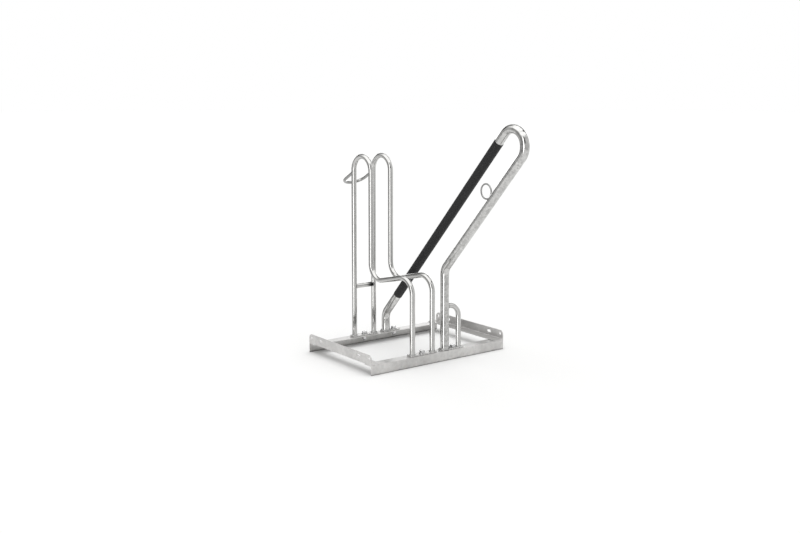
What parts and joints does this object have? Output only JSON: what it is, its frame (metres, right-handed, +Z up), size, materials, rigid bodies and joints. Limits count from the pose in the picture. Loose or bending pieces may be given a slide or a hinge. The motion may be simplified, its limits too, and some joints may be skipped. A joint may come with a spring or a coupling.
{
  "type": "bicycle stand",
  "caption": "Floor-standing bicycle stand: a steel-angle base frame carries a bent-tube front-wheel holder and a slanted lean-on tube hoop with a protective sleeve and a lock eyelet.",
  "frame": {"origin": "bottom centre of the bounding box, at floor level, halfway along the front rail and 38 mm behind its outer face", "axes": "+X along the two rails towards the lean-on hoop's side, +Y from the bicycle's side to the back of the stand, +Z up"},
  "size_m": [0.64, 0.9264, 0.9111],
  "materials": {
    "galvanised_steel": "hot-dip galvanised, satin, faint spangle",
    "galvanised_tube": "hot-dip galvanised tube, smooth satin with a soft shine",
    "zinc_fastener": "zinc-plated, slightly glossy",
    "black_plastic": "extruded charcoal-black plastic, matte"
  },
  "bodies": {
    "root": {"front_rail": "galvanised_steel", "rear_rail": "galvanised_steel", "left_end_bar": "galvanised_steel", "right_end_bar": "galvanised_steel", "wheel_hoop_left": "galvanised_tube", "wheel_hoop_right": "galvanised_tube", "wheel_stop_bar": "galvanised_tube", "tie_bow": "galvanised_tube", "holder_foot_plate_front": "galvanised_steel", "holder_foot_plate_rear": "galvanised_steel", "lean_hoop": "galvanised_tube", "protective_sleeve": "black_plastic", "lock_eyelet": "galvanised_tube", "side_brace": "galvanised_tube", "lean_foot_plate_front": "galvanised_steel", "lean_foot_plate_rear": "galvanised_steel", "bolt_holder_front": "zinc_fastener", "head_washer_holder_front": "zinc_fastener", "nut_washer_holder_front": "zinc_fastener", "nut_holder_front": "zinc_fastener", "bolt_holder_rear": "zinc_fastener", "head_washer_holder_rear": "zinc_fastener", "nut_washer_holder_rear": "zinc_fastener", "nut_holder_rear": "zinc_fastener", "bolt_lean_front": "zinc_fastener", "head_washer_lean_front": "zinc_fastener", "nut_washer_lean_front": "zinc_fastener", "nut_lean_front": "zinc_fastener", "bolt_lean_rear": "zinc_fastener", "head_washer_lean_rear": "zinc_fastener", "nut_washer_lean_rear": "zinc_fastener", "nut_lean_rear": "zinc_fastener"}
  },
  "joints": []
}
